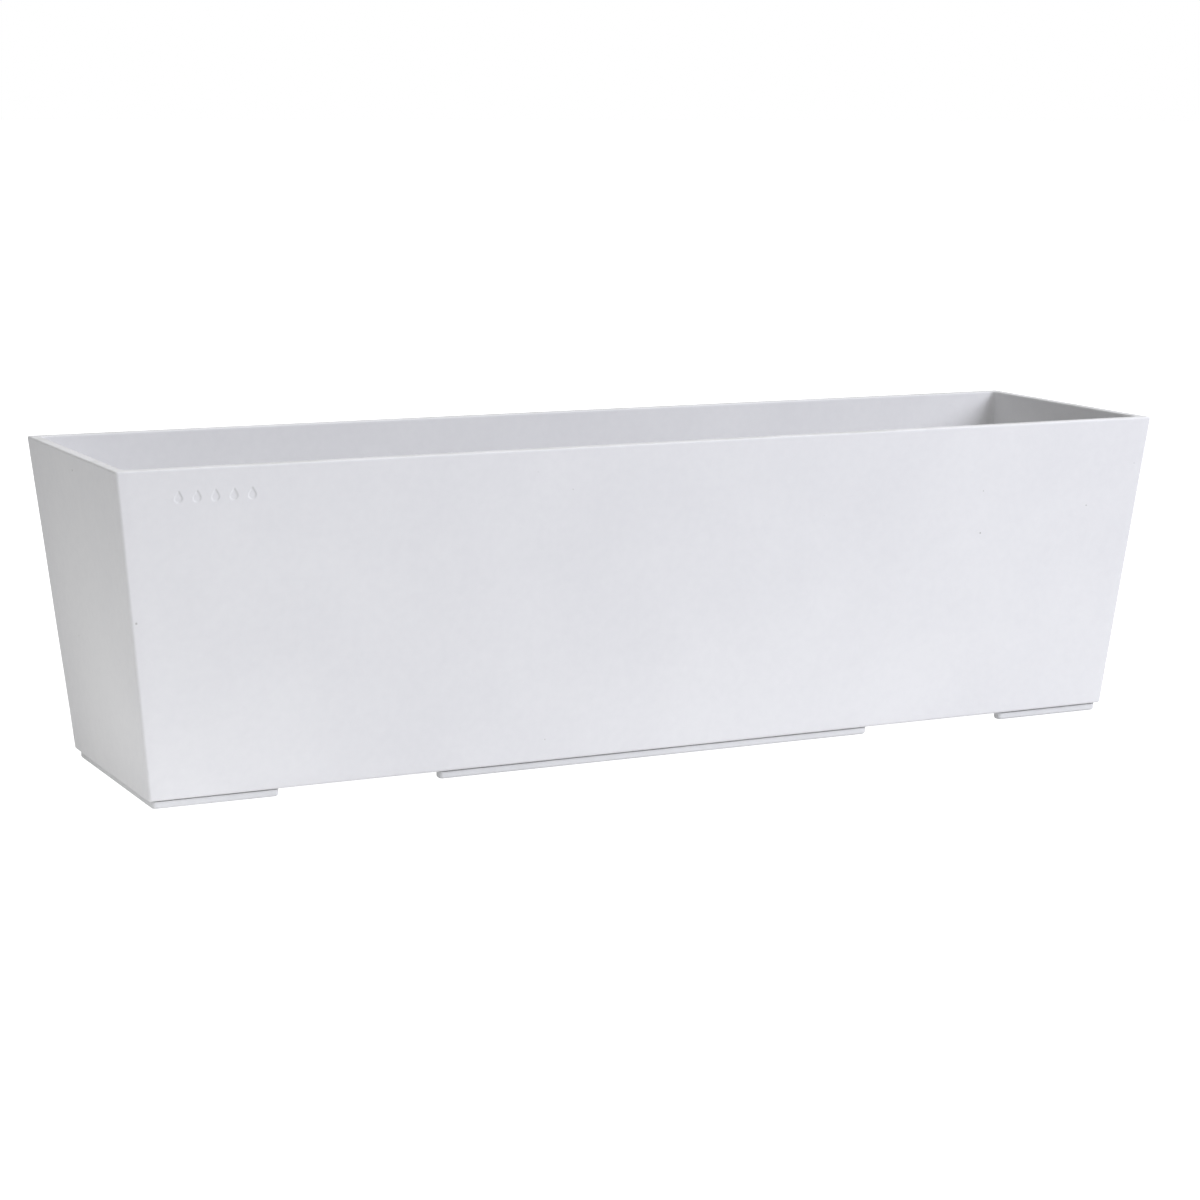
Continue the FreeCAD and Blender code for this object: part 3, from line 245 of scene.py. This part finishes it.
# The outer face ripples inward and grows flat again towards the underside. The inner face reads
# the waves at another place, and the rim's are twice as fine.
sideways = np.concatenate([outward, np.zeros((len(outward), 1))], axis=1)
above_base = np.clip((outer[..., 2:] - RIPPLE_START) / RIPPLE_RISE, 0, 1)
outer -= OUTER_RIPPLE * cast_ripple(outer)[..., None] * sideways * above_base
inner += INNER_RIPPLE * cast_ripple(inner + 0.3)[..., None] * sideways
outer[..., 1] += drop_depth(outer)
across_rim = np.linspace(0, 1, RIM_STEPS)[1:-1, None, None]
rim_flat = outer[-1][None] + across_rim * (inner[0] - outer[-1])[None]
rim_flat[..., 2] -= RIM_RIPPLE * cast_ripple(rim_flat * 2)

recess_top = UNDERSIDE + RECESS_DEPTH
underside_hole = hole_rings(outer[0], [
    (DRAIN_HOLE, recess_top),
    (RECESS_RADIUS - RECESS_EDGE, recess_top),
    (RECESS_RADIUS, recess_top - RECESS_EDGE),
    (RECESS_RADIUS, UNDERSIDE + RECESS_EDGE),
    (RECESS_RADIUS + RECESS_EDGE, UNDERSIDE),
])
floor_hole = hole_rings(inner[-1], [
    (DRAIN_HOLE + DRAIN_EDGE, FLOOR_HEIGHT),
    (DRAIN_HOLE, FLOOR_HEIGHT - DRAIN_EDGE),
])
trough = closed_skin("trough_body", np.concatenate([
    underside_hole,
    flat_to_hole(outer[0], RECESS_RADIUS + FLAT_MARGIN, UNDERSIDE_RINGS)[::-1],
    outer,
    rim_flat,
    inner,
    flat_to_hole(inner[-1], DRAIN_HOLE + FLAT_MARGIN, FLOOR_RINGS),
    floor_hole,
]))


def effect(name, inputs, outputs):
    """An empty shader node group with named inputs and outputs, and its two ends."""
    group = bpy.data.node_groups.new(name, "ShaderNodeTree")
    for socket, kind, value in inputs:
        made = group.interface.new_socket(
            socket, in_out="INPUT", socket_type=f"NodeSocket{kind}")
        if value is not None:
            made.default_value = value
    for socket, kind in outputs:
        group.interface.new_socket(socket, in_out="OUTPUT", socket_type=f"NodeSocket{kind}")
    return group, add(group, "NodeGroupInput"), add(group, "NodeGroupOutput")


def add(tree, kind, values=None, links=None, **settings):
    """A node in a tree, with its settings, its plain input values, and its inputs linked."""
    made = tree.nodes.new(kind if kind.startswith("Node") else f"ShaderNode{kind}")
    for setting, value in settings.items():
        setattr(made, setting, value)
    for socket, value in (values or {}).items():
        made.inputs[socket].default_value = value
    for socket, source in (links or {}).items():
        tree.links.new(source, made.inputs[socket])
    return made


def between(tree, source, low, high, to_low=0.0, to_high=1.0):
    """Stretches a value from one range to another, and holds it there."""
    ends = {"From Min": low, "From Max": high, "To Min": to_low, "To Max": to_high}
    return add(tree, "MapRange", ends, {"Value": source}).outputs["Result"]


# Cloudy: broad soft patches with a finer mottle over them, as in filled resin and cement. Gives
# a value about 0.5.
cloudy, cloudy_in, cloudy_out = effect(
    "cloudy",
    [
        ("Vector", "Vector", None),
        ("Patch Scale", "Float", 9.0),
        ("Mottle Scale", "Float", 140.0),
        ("Mottle Share", "Float", 0.35),
    ],
    [("Value", "Float")],
)
patches = add(
    cloudy, "TexNoise", {"Detail": 4.0, "Roughness": 0.55},
    {"Vector": cloudy_in.outputs["Vector"], "Scale": cloudy_in.outputs["Patch Scale"]},
)
mottle = add(
    cloudy, "TexNoise", {"Detail": 3.0, "Roughness": 0.6},
    {"Vector": cloudy_in.outputs["Vector"], "Scale": cloudy_in.outputs["Mottle Scale"]},
)
mixed = add(
    cloudy, "Mix", None,
    {0: cloudy_in.outputs["Mottle Share"], 2: patches.outputs["Fac"], 3: mottle.outputs["Fac"]},
    data_type="FLOAT",
)
cloudy.links.new(mixed.outputs[0], cloudy_out.inputs["Value"])

# Pinholes: small round pits where trapped air met the mould, in a few cells of a scattered grid.
# Gives a mask.
pinholes, pinholes_in, pinholes_out = effect(
    "pinholes",
    [
        ("Vector", "Vector", None),
        ("Scale", "Float", 60.0),
        ("Size", "Float", 0.16),
        ("Share", "Float", 0.12),
    ],
    [("Mask", "Float")],
)
cells = add(
    pinholes, "TexVoronoi", None,
    {"Vector": pinholes_in.outputs["Vector"], "Scale": pinholes_in.outputs["Scale"]},
    feature="F1",
)
cell_number = add(pinholes, "SeparateColor", None, {"Color": cells.outputs["Color"]})
chosen = add(
    pinholes, "Math", None,
    {0: cell_number.outputs["Red"], 1: pinholes_in.outputs["Share"]}, operation="LESS_THAN",
)
pit_size = add(
    pinholes, "Math", None,
    {0: cell_number.outputs["Green"], 1: pinholes_in.outputs["Size"]}, operation="MULTIPLY",
)
depth = add(
    pinholes, "Math", None,
    {0: pit_size.outputs[0], 1: cells.outputs["Distance"]}, operation="SUBTRACT",
)
sharpened = add(
    pinholes, "Math", {1: 14.0}, {0: depth.outputs[0]}, operation="MULTIPLY", use_clamp=True)
masked = add(
    pinholes, "Math", None, {0: sharpened.outputs[0], 1: chosen.outputs[0]}, operation="MULTIPLY")
pinholes.links.new(masked.outputs[0], pinholes_out.inputs["Mask"])

# Grain: the fine tooth of a moulded or cast face. Gives a height about 0.5.
grain, grain_in, grain_out = effect(
    "grain",
    [("Vector", "Vector", None), ("Scale", "Float", 900.0), ("Sharpness", "Float", 0.5)],
    [("Height", "Float")],
)
tooth = add(
    grain, "TexNoise", {"Detail": 2.0},
    {
        "Vector": grain_in.outputs["Vector"],
        "Scale": grain_in.outputs["Scale"],
        "Roughness": grain_in.outputs["Sharpness"],
    },
)
grain.links.new(tooth.outputs["Fac"], grain_out.inputs["Height"])

# Settled: dust and splashed soil that lie on faces that look up, more in some places than
# others. Gives a mask.
settled, settled_in, settled_out = effect(
    "settled",
    [
        ("Vector", "Vector", None),
        ("Normal", "Vector", None),
        ("Amount", "Float", 0.4),
        ("Scale", "Float", 30.0),
    ],
    [("Mask", "Float")],
)
facing = add(settled, "SeparateXYZ", None, {"Vector": settled_in.outputs["Normal"]})
upward = between(settled, facing.outputs["Z"], 0.35, 0.95)
drift = add(
    settled, "TexNoise", {"Detail": 5.0, "Roughness": 0.65},
    {"Vector": settled_in.outputs["Vector"], "Scale": settled_in.outputs["Scale"]},
)
patchy = between(settled, drift.outputs["Fac"], 0.42, 0.68)
lying = add(settled, "Math", None, {0: upward, 1: patchy}, operation="MULTIPLY")
amount = add(
    settled, "Math", None,
    {0: lying.outputs[0], 1: settled_in.outputs["Amount"]}, operation="MULTIPLY",
)
settled.links.new(amount.outputs[0], settled_out.inputs["Mask"])


def material(name, **shader_values):
    """A material with a plain Principled shader, whose constants are set on its own sockets."""
    made = bpy.data.materials.new(name)
    made.use_nodes = True
    tree = made.node_tree
    shader = tree.nodes["Principled BSDF"]
    for socket, value in shader_values.items():
        shader.inputs[socket.replace("_", " ")].default_value = value
    return made, tree, shader, add(tree, "TexCoord")


def place_effect(tree, group, values, links):
    """One of the shared effects, placed in a material with its own values."""
    return add(tree, "Group", values, links, node_tree=group)


def blend_colour(tree, mask, first, second):
    """A colour between two, each a plain colour or another output, by a mask."""
    mix = add(tree, "Mix", None, {0: mask}, data_type="RGBA")
    for socket, colour in ((6, first), (7, second)):
        if isinstance(colour, tuple):
            mix.inputs[socket].default_value = (*colour, 1.0)
        else:
            tree.links.new(colour, mix.inputs[socket])
    return mix.outputs[2]


def bumped(tree, shader, *layers):
    """Chains bump layers of (height, strength, distance) into the shader's normal."""
    last = None
    for height, strength, distance in layers:
        links = {"Height": height} if last is None else {"Height": height, "Normal": last}
        last = add(tree, "Bump", {"Strength": strength, "Distance": distance}, links)
        last = last.outputs["Normal"]
    tree.links.new(last, shader.inputs["Normal"])


# The pit colour is painted shade inside the pinholes. The stone dust is real dust on faces that
# look up.
STONE_DUST, PAINTED_PIT_SHADE = (0.60, 0.61, 0.585), (0.36, 0.35, 0.33)


def cast_resin(name, light, dark, pit_share):
    """White stone-filled resin: cloudy, mottled and matt, with a fine tooth and thin grey dust.

    A few pinholes are scattered over it, in a share of the cells of their grid, each
    coloured dark grey inside as painted shade.
    """
    made, tree, shader, place = material(name, Roughness=0.62, Specular_IOR_Level=0.35)
    at = place.outputs["Object"]
    clouds = {"Patch Scale": 7.0, "Mottle Scale": 160.0, "Mottle Share": 0.3}
    tone = place_effect(tree, cloudy, clouds, {"Vector": at})
    holes = {"Scale": 75.0, "Size": 0.1, "Share": pit_share}
    pits = place_effect(tree, pinholes, holes, {"Vector": at})
    fine = place_effect(tree, grain, {"Scale": 1100.0, "Sharpness": 0.6}, {"Vector": at})
    spread = between(tree, tone.outputs["Value"], 0.36, 0.64)
    toned = blend_colour(tree, spread, dark, light)
    dust = place_effect(
        tree, settled, {"Amount": 0.7, "Scale": 26.0},
        {"Vector": at, "Normal": place.outputs["Normal"]},
    )
    dusted = blend_colour(tree, dust.outputs["Mask"], toned, STONE_DUST)
    # Painted shade: the pinholes are coloured dark grey over the dusted tone.
    pit_shaded_colour = blend_colour(tree, pits.outputs["Mask"], dusted, PAINTED_PIT_SHADE)
    tree.links.new(pit_shaded_colour, shader.inputs["Base Color"])
    gloss = between(tree, tone.outputs["Value"], 0.3, 0.7, 0.7, 0.54)
    tree.links.new(gloss, shader.inputs["Roughness"])
    pit_floor = add(tree, "Math", {0: 1.0}, {1: pits.outputs["Mask"]}, operation="SUBTRACT")
    bumped(
        tree, shader,
        (tone.outputs["Value"], 0.25, 0.0008),
        (fine.outputs["Height"], 0.3, 0.00012),
        (pit_floor.outputs[0], 0.6, 0.0006),
    )
    return made


white_resin = cast_resin("white_resin", (0.81, 0.81, 0.815), (0.765, 0.765, 0.775), 0.1)
trough.data.materials.append(white_resin)
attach(trough, "planter")
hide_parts("planter_shell")

# ---------------------------------------------------------------------------------------- Feet
# Strips of the same resin under the trough's lower edge, with a shadow groove round the top of
# each: a U at each end and two straight ones between them. Stainless pan-head screws sit in
# counterbored tabs.


def put_on(finish, *names):
    """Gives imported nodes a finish, in place of any they have."""
    for name in names:
        slots = node[name].data.materials
        slots.clear()
        slots.append(finish)


# Painted shade: the feet get a darker copy of the trough's resin, for the shade under its edge.
shaded_foot_resin = cast_resin("shaded_foot_resin", (0.76, 0.765, 0.77), (0.70, 0.705, 0.71), 0.06)
put_on(shaded_foot_resin, "left_foot", "right_foot", "centre_front_foot", "centre_back_foot")


def drawn_steel(name, colour, roughness):
    """Bright drawn steel: fine streaks along its length in the roughness and the bump."""
    made, tree, shader, place = material(name, Metallic=1.0)
    at = place.outputs["Object"]
    stretched = add(tree, "Mapping", {"Scale": (1.0, 1.0, 0.08)}, {"Vector": at})
    streaks = add(
        tree, "TexNoise", {"Scale": 1800.0, "Detail": 3.0},
        {"Vector": stretched.outputs["Vector"]},
    )
    clouds = {"Patch Scale": 120.0, "Mottle Scale": 900.0}
    tone = place_effect(tree, cloudy, clouds, {"Vector": at})
    darker = tuple(0.72 * channel for channel in colour)
    toned = blend_colour(tree, tone.outputs["Value"], darker, colour)
    tree.links.new(toned, shader.inputs["Base Color"])
    rough = between(tree, streaks.outputs["Fac"], 0.3, 0.7, roughness - 0.08, roughness + 0.12)
    tree.links.new(rough, shader.inputs["Roughness"])
    bumped(tree, shader, (streaks.outputs["Fac"], 0.2, 0.00005))
    return made


screw_steel = drawn_steel("screw_steel", (0.62, 0.62, 0.64), 0.32)
put_on(screw_steel, "foot_screws", "fill_cap_pin", "float_rod")

# --------------------------------------------------------------------------------------- Drain
# A black nylon bush through the floor, with a rubber gasket above and a back nut below. A
# standpipe in its collar sets the highest water level, and a plug with a coin slot screws in
# from underneath.

SOIL_DUST = (0.16, 0.125, 0.095)


def moulded(name, colour, dust, roughness, tooth_scale):
    """Injection-moulded plastic: a fine tooth and a slightly uneven gloss.

    Dust or dried soil lies on the faces that look up, and dulls them.
    """
    made, tree, shader, place = material(name, Specular_IOR_Level=0.4)
    at = place.outputs["Object"]
    clouds = {"Patch Scale": 24.0, "Mottle Scale": 260.0, "Mottle Share": 0.45}
    tone = place_effect(tree, cloudy, clouds, {"Vector": at})
    fine = place_effect(tree, grain, {"Scale": tooth_scale, "Sharpness": 0.5}, {"Vector": at})
    lying = place_effect(
        tree, settled, {"Amount": dust, "Scale": 45.0},
        {"Vector": at, "Normal": place.outputs["Normal"]},
    )
    darker = tuple(0.78 * channel for channel in colour)
    toned = blend_colour(tree, tone.outputs["Value"], darker, colour)
    dusted = blend_colour(tree, lying.outputs["Mask"], toned, SOIL_DUST)
    tree.links.new(dusted, shader.inputs["Base Color"])
    gloss = between(tree, tone.outputs["Value"], 0.3, 0.7, roughness - 0.06, roughness + 0.1)
    duller = add(tree, "Math", {1: 0.5}, {0: lying.outputs["Mask"]}, operation="MULTIPLY")
    total = add(
        tree, "Math", None, {0: gloss, 1: duller.outputs[0]}, operation="ADD", use_clamp=True)
    tree.links.new(total.outputs[0], shader.inputs["Roughness"])
    bumped(
        tree, shader,
        (tone.outputs["Value"], 0.12, 0.0004),
        (fine.outputs["Height"], 0.35, 0.00012),
    )
    return made


nylon = moulded(
    "black_nylon", (0.035, 0.035, 0.038), dust=0.25, roughness=0.4, tooth_scale=1200.0)
put_on(nylon, "drain_bush", "drain_backnut", "drain_plug")
gasket_rubber = moulded(
    "gasket_rubber", (0.02, 0.02, 0.02), dust=0.2, roughness=0.72, tooth_scale=1600.0)
put_on(gasket_rubber, "drain_gasket", "drain_plug_seal")
pipe_plastic = moulded(
    "grey_pipe", (0.2, 0.205, 0.21), dust=0.15, roughness=0.42, tooth_scale=900.0)
put_on(pipe_plastic, "overflow_pipe")

# ----------------------------------------------------------------------------------- Platforms
# Two slotted plates in black recycled plastic, each on six plugged-in legs, that hold the soil
# above the water.

recycled = moulded(
    "black_recycled", (0.042, 0.042, 0.044), dust=0.3, roughness=0.55, tooth_scale=600.0)
put_on(recycled, "left_platform", "right_platform")
put_on(recycled, *[f"{side}_leg_{leg}" for side in ("left", "right") for leg in range(1, 7)])

# ----------------------------------------------------------------------------------- Wick cups
# Slotted tapered cups, moulded in a slightly darker black plastic, that hang from the platforms
# into the water.

cup_plastic = moulded(
    "cup_plastic", (0.03, 0.03, 0.032), dust=0.4, roughness=0.5, tooth_scale=600.0)
put_on(cup_plastic, *[f"wick_cup_{number}" for number in range(1, 5)])

# ----------------------------------------------------------------------------------- Fill tube
# An extruded grey tube in the left platform's collar. Its hinge ring, lid and thumb tab are
# black nylon.

put_on(pipe_plastic, "fill_tube")
put_on(nylon, "fill_cap_ring", "fill_cap")

# --------------------------------------------------------------------------------- Level gauge
# A grey tube in the right platform's collar. A foam float in it lifts a steel rod with a red
# flag, which shows through a clear window under a black cap.

put_on(pipe_plastic, "indicator_tube")
put_on(nylon, "indicator_cap", "indicator_end_stop")
float_foam = moulded(
    "float_foam", (0.78, 0.77, 0.72), dust=0.1, roughness=0.8, tooth_scale=420.0)
put_on(float_foam, "float")
flag_red = moulded("flag_red", (0.6, 0.03, 0.02), dust=0.05, roughness=0.3, tooth_scale=1200.0)
put_on(flag_red, "level_flag")

clear, clear_tree, clear_shader, clear_place = material(
    "clear_window", Transmission_Weight=0.95, IOR=1.49, Base_Color=(0.93, 0.96, 0.96, 1.0))
haze = place_effect(
    clear_tree, cloudy, {"Patch Scale": 60.0, "Mottle Scale": 500.0},
    {"Vector": clear_place.outputs["Object"]},
)
clear_rough = between(clear_tree, haze.outputs["Value"], 0.35, 0.7, 0.05, 0.22)
clear_tree.links.new(clear_rough, clear_shader.inputs["Roughness"])
put_on(clear, "indicator_window")

# ----------------------------------------------------------------- Floor, sky, lamp and camera
# A plain pale studio floor that glows softly round the trough, most at its left end, and is
# clear from below. A soft sky is brighter towards the top and the right, and one large lamp is
# high on the right. Floor and sky are white where the camera sees them directly.

FLOOR_HALF, FLOOR_DROP = 30.0, 0.0004
LAMP_PLACE, LAMP_AIM = Vector((1.7, -2.3, 1.5)), Vector((0, 0, 0.1))
LAMP_SIZE, LAMP_POWER, LAMP_COLOUR = 1.6, 60.0, (0.90, 0.91, 1.0)
AZIMUTH, ELEVATION, ROLL = math.radians(-26.319), math.radians(10.137), math.radians(0.4466)
CAMERA_AIM, DISTANCE = Vector((-0.00816, 0, 0.09929)), 2.1036
SENSOR_WIDTH, FOCAL_LENGTH = 36.0, 86.94

floor_mesh = bpy.data.meshes.new("studio_floor")
floor_signs = ((-1, -1), (1, -1), (1, 1), (-1, 1))
floor_corners = [(x * FLOOR_HALF, y * FLOOR_HALF, -FLOOR_DROP) for x, y in floor_signs]
floor_mesh.from_pydata(floor_corners, [], [(0, 1, 2, 3)])
floor = bpy.data.objects.new("studio_floor", floor_mesh)
bpy.context.scene.collection.objects.link(floor)
paper, paper_tree, paper_shader, paper_place = material(
    "white_paper", Roughness=0.9, Specular_IOR_Level=0.1)
paper_tone = place_effect(
    paper_tree, cloudy, {"Patch Scale": 1.5, "Mottle Scale": 40.0, "Mottle Share": 0.1},
    {"Vector": paper_place.outputs["Object"]},
)
paper_colour = blend_colour(
    paper_tree, paper_tone.outputs["Value"], (0.49, 0.49, 0.49), (0.51, 0.51, 0.51))
paper_tree.links.new(paper_colour, paper_shader.inputs["Base Color"])
paper_shader.inputs["Emission Color"].default_value = (1.0, 1.0, 1.0, 1.0)


def paper_math(operation, values, links):
    """The result of one sum in the paper's shader."""
    return add(paper_tree, "Math", values, links, operation=operation).outputs[0]


def paper_glow(centre, reach, strength):
    """A soft patch of light on the floor.

    It is the strength times e to the minus squared distance from the centre, over the reach.
    """
    spot = paper_place.outputs["Object"]
    off = add(paper_tree, "VectorMath", {1: (*centre, 0.0)}, {0: spot}, operation="SUBTRACT")
    share = add(
        paper_tree, "VectorMath", {1: (*reach, 1.0)}, {0: off.outputs[0]}, operation="DIVIDE"
    ).outputs[0]
    squared = add(
        paper_tree, "VectorMath", None, {0: share, 1: share}, operation="DOT_PRODUCT")
    falling = paper_math("POWER", {0: math.exp(-1)}, {1: squared.outputs["Value"]})
    return paper_math("MULTIPLY", {1: strength}, {0: falling})


round_trough = paper_glow((0.0, 0.0), (0.75, 0.45), 0.344)
left_end = paper_glow((-0.66, -0.06), (0.25, 0.20), 1.063)
glowing = paper_math("ADD", None, {0: round_trough, 1: left_end})
paper_seen = add(paper_tree, "LightPath").outputs["Is Camera Ray"]
shining = add(paper_tree, "Mix", {3: 1.0}, {0: paper_seen, 2: glowing}, data_type="FLOAT")
paper_tree.links.new(shining.outputs[0], paper_shader.inputs["Emission Strength"])
paper_back = add(paper_tree, "NewGeometry").outputs["Backfacing"]
paper_gone = add(paper_tree, "BsdfTransparent").outputs[0]
paper_sides = add(
    paper_tree, "MixShader", None, {0: paper_back, 1: paper_shader.outputs[0], 2: paper_gone})
paper_end = paper_tree.nodes["Material Output"].inputs["Surface"]
paper_tree.links.new(paper_sides.outputs[0], paper_end)
floor.data.materials.append(paper)

scene = bpy.context.scene
world = bpy.data.worlds.new("studio")
world.use_nodes = True
sky = world.node_tree
sky_look = add(sky, "TexCoord")
sky_side = add(sky, "SeparateXYZ", None, {"Vector": sky_look.outputs["Generated"]})
sky_height = between(sky, sky_side.outputs["Z"], 0.0, 1.0)
sky_slant = between(sky, sky_side.outputs["X"], -1.0, 1.0, 0.77, 1.55)
sky_light = add(sky, "Math", None, {0: sky_height, 1: sky_slant}, operation="MULTIPLY").outputs[0]
seen_directly = add(sky, "LightPath").outputs["Is Camera Ray"]
sky_strength = add(sky, "Mix", {3: 1.0}, {0: seen_directly, 2: sky_light}, data_type="FLOAT")
sky.links.new(sky_strength.outputs[0], sky.nodes["Background"].inputs["Strength"])
sky.nodes["Background"].inputs["Color"].default_value = (1.0, 1.0, 1.0, 1.0)
scene.world = world
scene.view_settings.view_transform = "Standard"

lamp = bpy.data.lights.new("key_lamp", "AREA")
lamp.size, lamp.energy, lamp.color = LAMP_SIZE, LAMP_POWER, LAMP_COLOUR
lamp_stand = bpy.data.objects.new("key_lamp", lamp)
lamp_stand.location = LAMP_PLACE
lamp_stand.rotation_euler = (LAMP_AIM - LAMP_PLACE).to_track_quat("-Z", "Y").to_euler()
scene.collection.objects.link(lamp_stand)

level_back = Vector((math.sin(AZIMUTH), -math.cos(AZIMUTH), 0)) * math.cos(ELEVATION)
back = level_back + Vector((0, 0, math.sin(ELEVATION)))
level_right = (-back).cross(Vector((0, 0, 1))).normalized()
level_up = level_right.cross(-back)
right = level_right * math.cos(ROLL) + level_up * math.sin(ROLL)
up = level_up * math.cos(ROLL) - level_right * math.sin(ROLL)
turned = Matrix((right, up, back)).transposed().to_4x4()
lens = bpy.data.cameras.new("camera")
lens.sensor_width, lens.lens = SENSOR_WIDTH, FOCAL_LENGTH
lens.clip_start, lens.clip_end = 0.05, 100.0
camera = bpy.data.objects.new("camera", lens)
camera.matrix_world = Matrix.Translation(CAMERA_AIM + back * DISTANCE) @ turned
scene.collection.objects.link(camera)
scene.camera = camera
